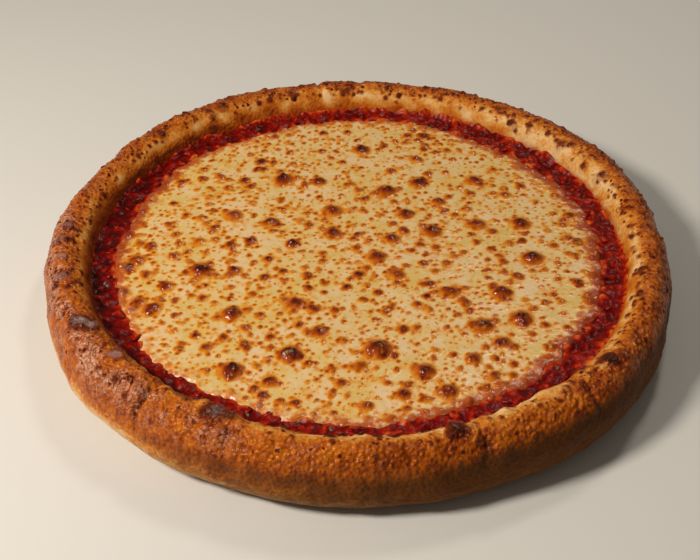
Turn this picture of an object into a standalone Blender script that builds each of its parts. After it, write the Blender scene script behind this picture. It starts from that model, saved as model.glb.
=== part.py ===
# Whole margherita pizza, eleven inches across: a deep, risen crust shaped like a shallow dish,
# a bed of crushed tomato sauce in it, and one melted sheet of mozzarella on the sauce.
# Units are metres and +Z is up. The origin is the middle of the flat underside.
# Azimuths are in degrees, anticlockwise from +X. The side seen in front lies towards -Y.
from math import cos, pi, radians, sin
from random import Random

import bmesh
import bpy
from mathutils import Vector, noise
from mathutils.geometry import delaunay_2d_cdt

MM = 0.001

# Crust: one rounded rim round a flat dough base
OUTER_RADIUS = 140.0 * MM
UNDERSIDE_RADIUS = 127.5 * MM
CREST_RADIUS = 130.3 * MM
FOOT_RADIUS = 119.3 * MM
RIM_HEIGHT = 31.4 * MM
WIDEST_HEIGHT = 14.3 * MM
BASE_THICKNESS = 15.5 * MM

# Fillings: sauce on the base, cheese on the sauce, and the clearance between touching solids
FILLING_LEVEL = 20.4 * MM
CHEESE_UNDERSIDE = 18.3 * MM
CHEESE_RADIUS = 110.6 * MM
CLEARANCE = 0.3 * MM

# Share of an outward swell that the crest follows
CREST_SHARE = 0.4

# Resolution of the faceted solids
SECTORS = 180
RIM_STEPS = 16
CHEESE_SPACING = 9.0 * MM

# How the rim strays from a turned shape: waves closing on themselves round the rim
OUTER_WAVE = 1.3 * MM
CREST_WAVE = 1.2 * MM
FOOT_WAVE = 0.7 * MM

# Unevenness of its surface: how far it rises and how long one rise is
LUMP_HEIGHT, LUMP_LENGTH = 1.1 * MM, 19.0 * MM
CRAG_HEIGHT, CRAG_LENGTH = 0.5 * MM, 7.5 * MM

# Swells of the rim: azimuth, half width in degrees, then outwards, upwards and inwards in mm
RIM_SWELLS = (
    (218, 22, 3.0, 0.8, 1.4),
    (241, 14, 1.2, 0.6, 1.6),
    (178, 20, 1.6, 0.5, 0.4),
    (143, 14, 1.4, 0.3, 0.2),
    (262, 16, 0.6, 0.0, 0.8),
    (314, 24, 2.0, 0.3, 0.6),
    (36, 28, 3.2, 0.5, -0.4),
    (4, 12, -1.4, 0.0, 0.3),
    (66, 16, 1.2, 0.4, -0.6),
    (128, 14, 0.4, 0.4, 0.2),
)

# Folds that cross the crest: azimuth, half width in mm, depth in mm
RIM_FOLDS = (
    (231.8, 1.8, 1.5),
    (248.9, 1.6, 0.9),
    (290.4, 1.8, 0.9),
    (204.0, 2.2, 1.1),
    (99.7, 1.4, 0.9),
    (141.0, 1.8, 0.6),
    (312.0, 2.0, 0.7),
    (58.0, 1.8, 0.5),
)

# Baked blisters of the rim: azimuth, distance from the middle, radius and height in mm
RIM_BLISTERS = (
    (209.2, 129.6, 5.0, 1.5), (210.8, 125.0, 4.2, 1.3), (216.3, 132.8, 3.2, 0.9),
    (221.2, 127.6, 4.2, 1.0), (230.2, 130.9, 3.6, 0.8), (235.9, 130.4, 4.2, 1.0),
    (245.2, 127.0, 5.6, 1.4), (255.6, 131.6, 3.2, 0.8), (265.5, 124.1, 2.0, 0.7),
    (266.0, 129.3, 2.0, 0.6), (273.3, 125.4, 1.9, 0.6), (276.3, 123.6, 1.9, 0.6),
    (286.8, 126.5, 4.6, 1.2), (289.2, 130.8, 4.4, 0.9), (311.0, 130.5, 4.2, 0.9),
    (315.5, 122.4, 2.6, 0.9), (320.2, 129.4, 4.6, 1.1), (322.6, 132.6, 3.6, 0.8),
    (348.1, 122.4, 1.9, 0.7), (353.5, 122.9, 2.1, 0.8), (357.0, 121.4, 1.8, 0.6),
    (1.0, 121.9, 2.1, 0.8), (16.6, 125.6, 2.2, 0.8), (21.8, 123.9, 3.7, 1.7),
    (27.7, 122.7, 2.1, 0.8), (30.9, 125.8, 1.9, 0.7), (34.4, 126.5, 2.3, 0.8),
    (36.7, 123.5, 3.1, 1.2), (50.7, 122.9, 2.8, 1.2), (93.5, 124.4, 2.2, 0.6),
    (106.3, 124.9, 3.1, 0.9), (109.7, 124.9, 2.3, 0.6), (124.1, 127.5, 4.0, 1.1),
    (127.0, 124.8, 3.4, 0.9), (141.0, 126.9, 3.6, 1.0), (167.2, 132.8, 3.2, 0.8),
    (179.1, 130.3, 4.0, 1.0), (183.4, 133.1, 4.6, 1.1), (188.8, 130.9, 4.2, 1.0),
    (195.0, 131.8, 4.8, 1.1), (197.4, 126.3, 3.0, 0.8),
)

# Largest blisters of the cheese: x, y, radius and height in mm
CHEESE_DOMES = (
    (69, -47, 5.2, 2.2), (-70, -16, 5.6, 2.3), (-37, 55, 5.2, 2.1), (8, -6, 5.0, 2.1),
    (-59, 25, 5.0, 1.9), (27, -80, 5.0, 1.9), (62, -30, 5.0, 2.1), (-28, -70, 5.2, 2.0),
    (78, -6, 5.4, 2.3), (-51, -80, 5.2, 2.0), (13, 46, 5.4, 2.2), (-54, -45, 5.0, 1.8),
    (36, -91, 4.6, 1.7), (75, 20, 5.2, 2.2), (55, 19, 4.8, 1.8), (29, 53, 4.8, 1.8),
    (56, 55, 4.8, 1.7), (1, 82, 4.6, 1.6), (-13, 29, 5.4, 2.2), (52, -52, 5.4, 2.1),
    (8, -67, 6.6, 3.0), (38, 37, 4.0, 1.4), (15, 8, 4.2, 1.5), (-73, 5, 3.4, 1.1),
    (47, -72, 4.0, 1.4), (-16, -56, 3.8, 1.3), (-55, -16, 3.6, 1.2), (70, 43, 3.8, 1.3),
    (18, -93, 3.6, 1.2), (-20, 54, 3.6, 1.2), (-83, -6, 3.4, 1.1), (-27, -38, 4.6, 1.5),
    (1, -77, 3.6, 1.2), (29, 73, 3.6, 1.2), (-84, -27, 3.8, 1.2), (3, -100, 3.6, 1.1),
    (60, -62, 3.8, 1.3), (-41, 20, 4.6, 1.6), (-94, -19, 3.4, 1.0), (-35, -86, 3.6, 1.2),
    (-88, -42, 4.4, 1.5), (-12, 12, 4.8, 1.6), (34, 14, 5.0, 1.8), (22, 27, 4.6, 1.7),
    (17, -18, 4.2, 1.4), (40, -30, 4.6, 1.6), (-30, 4, 3.8, 1.3),
)

# Smaller blisters strewn between them
SMALL_DOME_COUNT = 70
SMALL_DOME_RADII = (2.2, 3.2)
SMALL_DOME_SLOPE = 0.34
DOME_SPACING = 1.5
STREWING_SEED = 11


def closed_wave(azimuth, cycles, seed):
    """Smooth noise from about -1 to 1 that closes on itself after a full turn."""
    reach = cycles / (2 * pi)
    return noise.noise(Vector((cos(azimuth) * reach, sin(azimuth) * reach, seed)))


def bell(distance, reach):
    """1 at no distance, falling smoothly to 0 at the reach and beyond."""
    share = min(abs(distance) / reach, 1.0)
    return (1 - share * share) ** 2


def angle_between(azimuth, degrees):
    """Signed turn from an azimuth in degrees to one in radians, in degrees."""
    return (azimuth * 180 / pi - degrees + 180) % 360 - 180


def rim_sizes(azimuth):
    """Outer, crest and foot radius of the rim at one azimuth, and its height."""
    outer = OUTER_RADIUS + OUTER_WAVE * closed_wave(azimuth, 9, 1.7)
    height = RIM_HEIGHT + CREST_WAVE * closed_wave(azimuth, 11, 5.3)
    foot = FOOT_RADIUS + FOOT_WAVE * closed_wave(azimuth, 14, 9.1)
    for degrees, half_width, outwards, upwards, inwards in RIM_SWELLS:
        share = bell(angle_between(azimuth, degrees), half_width)
        outer += outwards * MM * share
        height += upwards * MM * share
        foot -= inwards * MM * share
    return outer, CREST_RADIUS + CREST_SHARE * (outer - OUTER_RADIUS), foot, height


def rim_profile(azimuth, around):
    """Radius and height of the smooth rim, and its outward direction in that plane.

    The rim is three quarter ellipses. `around` is -90 at the edge of the underside, 0 where
    the rim is widest, 90 on the crest and 180 at the foot of the inner wall.
    """
    outer, crest, foot, height = rim_sizes(azimuth)
    turn = radians(around)
    if around <= 0:
        middle, across = UNDERSIDE_RADIUS, outer - UNDERSIDE_RADIUS
        level, up = WIDEST_HEIGHT, WIDEST_HEIGHT
    elif around <= 90:
        middle, across = crest, outer - crest
        level, up = WIDEST_HEIGHT, height - WIDEST_HEIGHT
    else:
        middle, across = crest, crest - foot
        level, up = BASE_THICKNESS, height - BASE_THICKNESS
    outward = Vector((cos(turn) * up, sin(turn) * across)).normalized()
    return middle + across * cos(turn), level + up * sin(turn), outward


def polar(azimuth, radius, height):
    return Vector((cos(azimuth) * radius, sin(azimuth) * radius, height))


def crest_point(degrees, distance):
    """Point of the smooth rim that lies at a distance from the middle, on the upper side."""
    azimuth = radians(degrees)
    low, high = 0.0, 180.0
    for _ in range(24):
        around = (low + high) / 2
        if rim_profile(azimuth, around)[0] > distance:
            low = around
        else:
            high = around
    radius, height, _ = rim_profile(azimuth, around)
    return polar(azimuth, radius, height)


def fold_depth(azimuth, around):
    """Depth of the folds pressed across the crest at one place of the rim."""
    crossing = bell(around - 70, 75)
    depth = 0.0
    for degrees, half_width, deep in RIM_FOLDS:
        along = radians(angle_between(azimuth, degrees)) * CREST_RADIUS
        depth += deep * MM * bell(along, 2.4 * half_width * MM)
    return depth * crossing


def rim_relief(azimuth, around, point, blisters):
    """How far the baked surface stands proud of the smooth rim."""
    seen = bell(min(around + 20, 0), 70) * bell(max(around - 105, 0), 62)
    lumps = LUMP_HEIGHT * noise.noise(point / LUMP_LENGTH)
    crags = CRAG_HEIGHT * noise.noise(point / CRAG_LENGTH)
    raised = 0.0
    for centre, radius, tall in blisters:
        raised = max(raised, tall * bell((point - centre).length, 1.25 * radius))
    return (lumps + crags - fold_depth(azimuth, around)) * seen + raised


def material(name, colour, roughness):
    made = bpy.data.materials.new(name)
    made.use_nodes = True
    shader = made.node_tree.nodes["Principled BSDF"]
    shader.inputs["Base Color"].default_value = (*colour, 1.0)
    shader.inputs["Roughness"].default_value = roughness
    shader.inputs["Metallic"].default_value = 0.0
    return made


def ring(bm, points):
    return [bm.verts.new(point) for point in points]


def bridge(bm, lower, upper):
    """Quads, split in two alike, between two closed rings of as many vertices."""
    count = len(lower)
    for i in range(count):
        j = (i + 1) % count
        bm.faces.new((lower[i], lower[j], upper[j]))
        bm.faces.new((lower[i], upper[j], upper[i]))


def fill(bm, edge, inner_points=()):
    """Delaunay triangles inside a closed ring of vertices, through the points given.

    A triangle in a bay, outside the ring, has three corners on it that run clockwise.
    """
    corners = edge + ring(bm, inner_points)
    flat = [Vector((v.co.x, v.co.y)) / MM for v in corners]
    border = [(i, (i + 1) % len(edge)) for i in range(len(edge))]
    _, _, faces, sources, _, _ = delaunay_2d_cdt(flat, border, [], 1, 1e-4, True)
    for face in faces:
        a, b, c = sorted(sources[i][0] for i in face)
        bay = c < len(edge) and (flat[b] - flat[a]).cross(flat[c] - flat[b]) < 0
        if not bay:
            bm.faces.new((corners[a], corners[b], corners[c]))


def finish(bm, name, skin):
    """Close the shape, turn its faces outwards and put it in the scene."""
    bmesh.ops.recalc_face_normals(bm, faces=bm.faces[:])
    mesh = bpy.data.meshes.new(name)
    bm.to_mesh(mesh)
    bm.free()
    mesh.materials.append(skin)
    mesh.shade_smooth()
    mesh.set_sharp_from_angle(angle=radians(50))
    made = bpy.data.objects.new(name, mesh)
    bpy.context.scene.collection.objects.link(made)
    return made


def middle_triangle(height):
    """Three points round the middle of a flat disc, so that no corner lies at its centre."""
    return [polar(radians(turn), OUTER_RADIUS / 2, height) for turn in (90, 210, 330)]


def azimuths():
    return [2 * pi * i / SECTORS for i in range(SECTORS)]


def build_crust():
    blisters = [
        (crest_point(degrees, distance * MM), radius * MM, tall * MM)
        for degrees, distance, radius, tall in RIM_BLISTERS
    ]
    bm = bmesh.new()
    rings = []
    for step in range(RIM_STEPS + 1):
        around = -90 + 270 * step / RIM_STEPS
        points = []
        for azimuth in azimuths():
            radius, height, outward = rim_profile(azimuth, around)
            smooth = polar(azimuth, radius, height)
            proud = rim_relief(azimuth, around, smooth, blisters)
            points.append(polar(azimuth, radius + outward.x * proud, height + outward.y * proud))
        rings.append(ring(bm, points))
    for lower, upper in zip(rings, rings[1:]):
        bridge(bm, lower, upper)
    fill(bm, rings[0], middle_triangle(0.0))
    fill(bm, rings[-1], middle_triangle(BASE_THICKNESS))
    walls = [[v.co.copy() for v in level] for level in rings]
    return finish(bm, "crust", material("baked_dough", (0.47, 0.19, 0.055), 0.6)), walls


def wall_radii(walls):
    """Distance from the middle to the inner wall, at and below the level of the filling."""
    low = [level for level in walls if level[0].z < FILLING_LEVEL + 4 * MM]
    inner = [level for level in low if level[0].xy.length < CREST_RADIUS - 4 * MM]
    return [min(level[i].xy.length for level in inner) for i in range(SECTORS)]


def cheese_edge(azimuth):
    """Distance from the middle at which the melted cheese ends."""
    runs = 2.4 * closed_wave(azimuth, 16, 3.1) + 1.3 * closed_wave(azimuth, 44, 7.7)
    return CHEESE_RADIUS + runs * MM


def build_sauce(walls):
    reaches = [radius - 1.4 * CLEARANCE for radius in wall_radii(walls)]
    underside = BASE_THICKNESS + CLEARANCE
    bed = CHEESE_UNDERSIDE - CLEARANCE
    bm = bmesh.new()

    def level(place, height, rough):
        """Ring at a share of the way from the cheese to the crust, lumpy by an amount."""
        points = []
        for azimuth, reach in zip(azimuths(), reaches):
            near = cheese_edge(azimuth) + CLEARANCE
            point = polar(azimuth, near + (reach - near) * place, height)
            pulp = noise.noise(point / (5.0 * MM)) + 0.5 * noise.noise(point / (2.5 * MM))
            points.append(point + Vector((0, 0, rough * pulp)))
        return ring(bm, points)

    base = level(1.0, underside, 0.0)
    rings = [
        base,
        level(1.0, FILLING_LEVEL - 0.6 * MM, 0.5 * MM),
        level(0.72, FILLING_LEVEL + 0.3 * MM, 1.2 * MM),
        level(0.38, FILLING_LEVEL + 0.2 * MM, 1.2 * MM),
        level(0.06, FILLING_LEVEL - 0.5 * MM, 0.6 * MM),
        level(0.0, bed, 0.0),
    ]
    for lower, upper in zip(rings, rings[1:]):
        bridge(bm, lower, upper)
    fill(bm, base, middle_triangle(underside))
    fill(bm, rings[-1], middle_triangle(bed))
    return finish(bm, "tomato_sauce", material("crushed_tomato", (0.19, 0.012, 0.006), 0.3))


def strewn_domes():
    """The largest blisters, then smaller ones in the room that they leave."""
    draw = Random(STREWING_SEED)
    domes = [tuple(value * MM for value in dome) for dome in CHEESE_DOMES]
    wanted = len(domes) + SMALL_DOME_COUNT
    while len(domes) < wanted:
        azimuth = draw.uniform(0, 2 * pi)
        distance = (CHEESE_RADIUS - 7 * MM) * draw.random() ** 0.5
        radius = draw.uniform(*SMALL_DOME_RADII) * MM
        x, y = distance * cos(azimuth), distance * sin(azimuth)
        room = radius + DOME_SPACING * MM
        if all(Vector((x - a, y - b)).length > r + room for a, b, r, _ in domes):
            domes.append((x, y, radius, SMALL_DOME_SLOPE * radius))
    return domes


def cheese_height(point, domes):
    """Height of the melted surface: gentle waves, and the domes standing on them."""
    flat = Vector((point.x, point.y, 0))
    waves = 0.35 * MM * noise.noise(flat / (26 * MM)) + 0.15 * MM * noise.noise(flat / (9 * MM))
    raised = 0.0
    for x, y, radius, tall in domes:
        raised = max(raised, tall * bell((flat - Vector((x, y, 0))).length, 1.15 * radius))
    return FILLING_LEVEL + waves + raised


def build_cheese(domes):
    bm = bmesh.new()

    def level(inset, height):
        return ring(bm, [polar(a, cheese_edge(a) - inset, height) for a in azimuths()])

    base = level(0.3 * MM, CHEESE_UNDERSIDE)
    lip = level(0.0, FILLING_LEVEL - 0.9 * MM)
    edge = level(1.6 * MM, FILLING_LEVEL - 0.2 * MM)
    bridge(bm, base, lip)
    bridge(bm, lip, edge)
    points = []
    for x, y, radius, _ in domes:
        middle = Vector((x, y, 0))
        points.append(middle)
        large = radius > 3.3 * MM
        for share, count in ((0.5, 7), (1.0, 9)) if large else ((0.85, 6),):
            for i in range(count):
                points.append(middle + polar(2 * pi * (i + share) / count, share * radius, 0))
    rows = int(2 * CHEESE_RADIUS / CHEESE_SPACING)
    for row in range(-rows, rows + 1):
        for column in range(-rows, rows + 1):
            x = (column + 0.5 * (row % 2)) * CHEESE_SPACING
            point = Vector((x, row * CHEESE_SPACING * 0.87, 0))
            clear = all((point.xy - Vector((a, b))).length > r + 2.5 * MM for a, b, r, _ in domes)
            if clear and point.length < CHEESE_RADIUS - 7 * MM:
                points.append(point)
    inside = [p for p in points if p.length < CHEESE_RADIUS - 5 * MM]
    fill(bm, edge, [Vector((p.x, p.y, cheese_height(p, domes))) for p in inside])
    fill(bm, base, middle_triangle(CHEESE_UNDERSIDE))
    return finish(bm, "mozzarella", material("melted_mozzarella", (0.76, 0.57, 0.23), 0.35))


def main():
    for old in list(bpy.data.objects):
        bpy.data.objects.remove(old, do_unlink=True)
    _, walls = build_crust()
    build_sauce(walls)
    build_cheese(strewn_domes())


main()
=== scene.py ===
# Whole margherita pizza: blistered rim, crushed tomato and one toasted sheet of mozzarella.
# Metres, +Z up, the middle of the flat underside at the origin, the front towards -Y.
from functools import partial
from math import cos, pi, radians, sin
from random import Random

import bpy
import numpy as np
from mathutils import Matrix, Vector, bvhtree, kdtree, noise


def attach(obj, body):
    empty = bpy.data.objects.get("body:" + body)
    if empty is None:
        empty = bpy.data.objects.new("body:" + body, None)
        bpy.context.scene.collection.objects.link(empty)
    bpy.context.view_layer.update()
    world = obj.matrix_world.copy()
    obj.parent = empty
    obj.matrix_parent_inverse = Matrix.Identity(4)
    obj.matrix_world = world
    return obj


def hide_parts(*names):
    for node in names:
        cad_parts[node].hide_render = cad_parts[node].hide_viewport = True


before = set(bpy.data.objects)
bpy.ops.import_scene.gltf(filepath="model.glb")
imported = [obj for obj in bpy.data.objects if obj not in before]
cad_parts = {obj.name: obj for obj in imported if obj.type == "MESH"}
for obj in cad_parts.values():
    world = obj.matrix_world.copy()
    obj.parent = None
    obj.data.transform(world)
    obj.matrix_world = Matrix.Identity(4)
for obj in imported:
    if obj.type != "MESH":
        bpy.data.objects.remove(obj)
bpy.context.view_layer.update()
mm = 0.001
noise.seed_set(1)  # noise_vector would otherwise change with the clock


# small helpers

def linearColour(code):  # sRGB hex to the linear colour that a shader works in
    parts = [int(code[i:i + 2], 16) / 255 for i in (0, 2, 4)]
    return [c / 12.92 if c <= 0.04045 else ((c + 0.055) / 1.055) ** 2.4 for c in parts] + [1.0]


def setInputs(node, inputs):  # values, nodes or sockets
    for key, value in inputs.items():
        named = [s for s in node.inputs if s.enabled and s.name == key]
        socket = named[0] if named else node.inputs[key]
        if isinstance(value, bpy.types.Node):
            value = out(value)
        if isinstance(value, bpy.types.NodeSocket):
            node.id_data.links.new(value, socket)
        else:
            socket.default_value = value


def addNode(tree, kind, inputs=None, stops=(), **settings):
    node = tree.nodes.new(kind)
    for name, value in settings.items():
        setattr(node, name, value)
    if stops:
        fillRamp(node, stops)
    setInputs(node, inputs or {})
    return node


def out(node, name=None):  # the live output of a node, by name or the first one
    return next(s for s in node.outputs if s.enabled and name in (None, s.name))


def perMm(size):  # texture scale at which one feature is so many millimetres long
    return 1.0 / (size * mm)


def fillRamp(node, stops):  # colour stops: place, then hex colour
    ramp = node.color_ramp
    while len(ramp.elements) > 1:
        ramp.elements.remove(ramp.elements[-1])
    for i, (place, code) in enumerate(stops):
        stop = ramp.elements[0] if i == 0 else ramp.elements.new(place)
        stop.position = place
        stop.color = linearColour(code)


def newMaterial(name):
    material = bpy.data.materials.new(name)
    material.use_nodes = True
    tree = material.node_tree
    return material, partial(addNode, tree), tree.nodes["Principled BSDF"]


def polar(azimuth, radius, height):
    return Vector((cos(azimuth) * radius, sin(azimuth) * radius, height))


def closedWave(azimuth, cycles, seed):  # noise that meets itself after a full turn
    reach = cycles / (2 * pi)
    return noise.noise(Vector((cos(azimuth) * reach, sin(azimuth) * reach, seed)))


def bell(distance, reach):  # 1 in the middle, 0 from the reach on
    share = min(abs(distance) / reach, 1.0)
    return (1 - share * share) ** 2


def smooth(low, high, value):
    share = min(max((value - low) / (high - low), 0.0), 1.0)
    return share * share * (3 - 2 * share)


def turnBetween(azimuth, degrees):
    return (azimuth * 180 / pi - degrees + 180) % 360 - 180


def bellAt(azimuth, spot):  # spot: azimuth and half width in degrees
    return bell(turnBetween(azimuth, spot[0]), spot[1])


def alongTurn(stops, azimuths):  # values between stops given as azimuth in degrees, value
    return np.interp(np.degrees(azimuths) % 360, *zip(*stops))


def placeFinder(places):
    finder = kdtree.KDTree(len(places))
    for i, place in enumerate(places):
        finder.insert(place, i)
    finder.balance()
    return finder


def meshPiece(name, points, faces, values):  # values: attribute name to one number a point
    mesh = bpy.data.meshes.new(name)
    mesh.from_pydata([tuple(p) for p in points], [], faces)
    for key, numbers in values.items():
        layer = mesh.attributes.new(key, "FLOAT", "POINT")
        layer.data.foreach_set("value", np.asarray(numbers, dtype=np.float32))
    mesh.shade_smooth()
    piece = bpy.data.objects.new(name, mesh)
    bpy.context.scene.collection.objects.link(piece)
    return piece


def bandFaces(points, count, below, above):  # quads between closed rings, then a fan at each end
    faces = []
    last = len(points) - count
    for low in range(0, last, count):
        for i in range(count):
            j = (i + 1) % count
            faces.append((low + i, low + j, low + count + j, low + count + i))
    under, over = len(points), len(points) + 1
    points += [Vector((0, 0, below)), Vector((0, 0, above))]
    faces += [((i + 1) % count, i, under) for i in range(count)]
    faces += [(last + i, last + (i + 1) % count, over) for i in range(count)]
    return faces


def growPiece(piece, tree, values):  # one Geometry Nodes modifier, its inputs set by identifier
    modifier = piece.modifiers.new(tree.name, "NODES")
    modifier.node_group = tree
    for socket in tree.interface.items_tree:
        if socket.in_out == "INPUT" and socket.name in values:
            modifier[socket.identifier] = values[socket.name]


def settlePiece(piece):  # the evaluated result becomes the piece's plain mesh
    graph = bpy.context.evaluated_depsgraph_get()
    settled = bpy.data.meshes.new_from_object(piece.evaluated_get(graph), depsgraph=graph)
    piece.modifiers.clear()
    piece.data = settled
    settled.name = piece.name
    settled.shade_smooth()


def newGroup(name, **inputs):  # a Geometry Nodes group; inputs: kind of value to its labels
    tree = bpy.data.node_groups.new(name, "GeometryNodeTree")
    tree.interface.new_socket("Geometry", in_out="INPUT", socket_type="NodeSocketGeometry")
    for kind, labels in inputs.items():
        for label in labels.split():
            tree.interface.new_socket(label, in_out="INPUT", socket_type="NodeSocket" + kind)
    tree.interface.new_socket("Geometry", in_out="OUTPUT", socket_type="NodeSocketGeometry")
    return tree, partial(addNode, tree), tree.nodes.new("NodeGroupInput").outputs


def closeGroup(add, geometry, material):
    skinned = add("GeometryNodeSetMaterial", {"Geometry": geometry, "Material": material})
    add("NodeGroupOutput", {"Geometry": skinned})


def strewPoints(add, given, room):  # denser where the attribute that is the room is higher
    share = add("GeometryNodeInputNamedAttribute", {"Name": room}, data_type="FLOAT")
    return add("GeometryNodeDistributePointsOnFaces", {
        "Mesh": given["Geometry"], "Distance Min": given["Spacing"], "Density Max": given["Density"],
        "Density Factor": share, "Seed": given["Seed"]}, distribute_method="POISSON")


def shiftedBy(add, place, size, detail, reach):  # a shift to every side, from one noise
    warp = add("ShaderNodeTexNoise", {"Vector": place, "Scale": perMm(size), "Detail": detail})
    centred = add("ShaderNodeVectorMath", {0: out(warp, "Color"), 1: (0.5, 0.5, 0.5)},
                  operation="SUBTRACT")
    return add("ShaderNodeVectorMath", {0: centred, "Scale": reach}, operation="SCALE")


# the rim: the same turned form, swells, folds and blisters as the solid crust

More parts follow.
